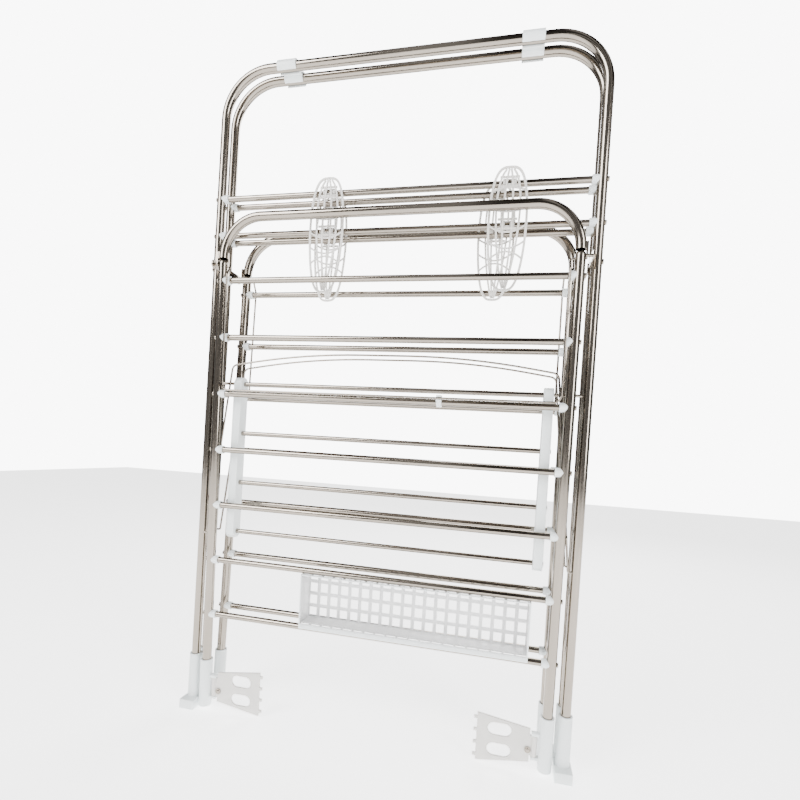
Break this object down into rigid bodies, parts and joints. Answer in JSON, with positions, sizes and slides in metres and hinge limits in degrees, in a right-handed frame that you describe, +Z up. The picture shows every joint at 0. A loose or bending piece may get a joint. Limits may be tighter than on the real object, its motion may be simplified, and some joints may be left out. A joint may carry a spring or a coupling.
{
  "type": "clothes drying rack",
  "caption": "Folding steel-tube clothes drying rack with lifting wings, a bar shelf, shoe nets, a clip-on tray and white plastic fittings, shown folded flat.",
  "frame": {"origin": "on the floor at the centre of the bounding box of the four feet", "axes": "+Z up along the legs, +X to the right along the top rail, -Y towards the front wing"},
  "size_m": [0.816, 0.1246, 1.4011],
  "materials": {
    "steel": "polished drawn stainless tube and wire",
    "fitting_plastic": "moulded satin",
    "net_plastic": "moulded satin",
    "tray_plastic": "moulded, milky"
  },
  "bodies": {
    "front_frame": {"front_frame_tube": "steel", "front_upper_bar": "steel", "front_lower_bar": "steel", "front_frame_collars": "fitting_plastic", "front_frame_bolts": "steel", "front_left_foot": "fitting_plastic", "front_right_foot": "fitting_plastic", "top_clips": "fitting_plastic", "front_pivot_pins": "steel", "front_bow": "steel", "shelf_pins": "steel"},
    "rear_frame": {"rear_frame_tube": "steel", "rear_upper_bar": "steel", "rear_lower_bar": "steel", "rear_frame_collars": "fitting_plastic", "rear_frame_bolts": "steel", "rear_left_foot": "fitting_plastic", "rear_right_foot": "fitting_plastic", "rear_pivot_pins": "steel", "rear_bow": "steel"},
    "front_wing": {"front_wing_left_tube": "steel", "front_wing_right_tube": "steel", "front_wing_bar_1": "steel", "front_wing_bar_2": "steel", "front_wing_bar_3": "steel", "front_wing_bar_4": "steel", "front_wing_bar_5": "steel", "front_wing_bar_6": "steel", "front_wing_bar_7": "steel", "front_wing_collars": "fitting_plastic", "front_wing_bolts": "steel", "front_wing_sleeves": "fitting_plastic", "wire_clip": "fitting_plastic"},
    "rear_wing": {"rear_wing_left_tube": "steel", "rear_wing_right_tube": "steel", "rear_wing_bar_1": "steel", "rear_wing_bar_2": "steel", "rear_wing_bar_3": "steel", "rear_wing_bar_4": "steel", "rear_wing_bar_5": "steel", "rear_wing_bar_6": "steel", "rear_wing_bar_7": "steel", "rear_wing_collars": "fitting_plastic", "rear_wing_bolts": "steel", "rear_wing_sleeves": "fitting_plastic"},
    "tray": {"tray": "tray_plastic"},
    "left_hanger_plate": {"left_hanger_plate": "net_plastic"},
    "right_hanger_plate": {"right_hanger_plate": "net_plastic"},
    "front_stay_wire": {"front_stay_wire": "steel"},
    "rear_stay_wire": {"rear_stay_wire": "steel"},
    "front_rail_wire": {"front_rail_wire": "steel"},
    "rear_rail_wire": {"rear_rail_wire": "steel"},
    "shelf": {"shelf_left_panel": "fitting_plastic", "shelf_right_panel": "fitting_plastic", "shelf_bars": "steel", "shelf_screws": "steel"},
    "front_left_net": {"front_left_net": "net_plastic"},
    "front_right_net": {"front_right_net": "net_plastic"},
    "rear_left_net": {"rear_left_net": "net_plastic"},
    "rear_right_net": {"rear_right_net": "net_plastic"}
  },
  "joints": [
    {"name": "leg_spread", "type": "hinge", "parent": "front_frame", "child": "rear_frame", "pos_m": [0, 0.018, 1.388], "axis": [1, 0, 0], "range_deg": [0, 25]},
    {"name": "front_wing_lift", "type": "hinge", "parent": "front_frame", "child": "front_wing", "pos_m": [0, -0.048, 0.962], "axis": [-1, 0, 0], "range_deg": [0, 95]},
    {"name": "rear_wing_lift", "type": "hinge", "parent": "rear_frame", "child": "rear_wing", "pos_m": [0, 0.048, 0.962], "axis": [1, 0, 0], "range_deg": [0, 95]},
    {"name": "shelf_swing", "type": "hinge", "parent": "front_frame", "child": "shelf", "pos_m": [0, -0.018, 0.713], "axis": [1, 0, 0], "range_deg": [0, 80]},
    {"name": "front_stay_swing", "type": "hinge", "parent": "front_wing", "child": "front_stay_wire", "pos_m": [0, -0.04785, 0.956], "axis": [-1, 0, 0], "range_deg": [0, 65]},
    {"name": "rear_stay_swing", "type": "hinge", "parent": "rear_wing", "child": "rear_stay_wire", "pos_m": [0, 0.04785, 0.956], "axis": [1, 0, 0], "range_deg": [0, 65]},
    {"name": "front_rail_lift", "type": "hinge", "parent": "front_frame", "child": "front_rail_wire", "pos_m": [0, -0.024, 0.384], "axis": [1, 0, 0], "range_deg": [0, 43]},
    {"name": "rear_rail_lift", "type": "hinge", "parent": "rear_frame", "child": "rear_rail_wire", "pos_m": [0, 0.024, 0.384], "axis": [-1, 0, 0], "range_deg": [0, 43]},
    {"name": "left_plate_turn", "type": "hinge", "parent": "front_wing", "child": "left_hanger_plate", "pos_m": [-0.338, -0.02572, 0.05027], "axis": [0, 0.0244, -0.9997], "range_deg": [0, 100]},
    {"name": "right_plate_turn", "type": "hinge", "parent": "front_wing", "child": "right_hanger_plate", "pos_m": [0.338, -0.02572, 0.05027], "axis": [0, -0.0244, 0.9997], "range_deg": [0, 100]},
    {"name": "tray_slide", "type": "slide", "parent": "front_wing", "child": "tray", "axis": [1, 0, 0], "range_m": [-0.15, 0.02]},
    {"name": "front_left_net_slide", "type": "slide", "parent": "front_frame", "child": "front_left_net", "axis": [1, 0, 0], "range_m": [-0.1, 0.1]},
    {"name": "front_right_net_slide", "type": "slide", "parent": "front_frame", "child": "front_right_net", "axis": [1, 0, 0], "range_m": [-0.1, 0.08]},
    {"name": "rear_left_net_slide", "type": "slide", "parent": "rear_frame", "child": "rear_left_net", "axis": [1, 0, 0], "range_m": [-0.1, 0.1]},
    {"name": "rear_right_net_slide", "type": "slide", "parent": "rear_frame", "child": "rear_right_net", "axis": [1, 0, 0], "range_m": [-0.1, 0.1]}
  ],
  "couplings": [
    {"joint": "shelf_swing", "follows": "leg_spread", "ratio": 3.2},
    {"joint": "front_rail_lift", "follows": "front_wing_lift", "ratio": 0.45},
    {"joint": "rear_rail_lift", "follows": "rear_wing_lift", "ratio": 0.45}
  ]
}
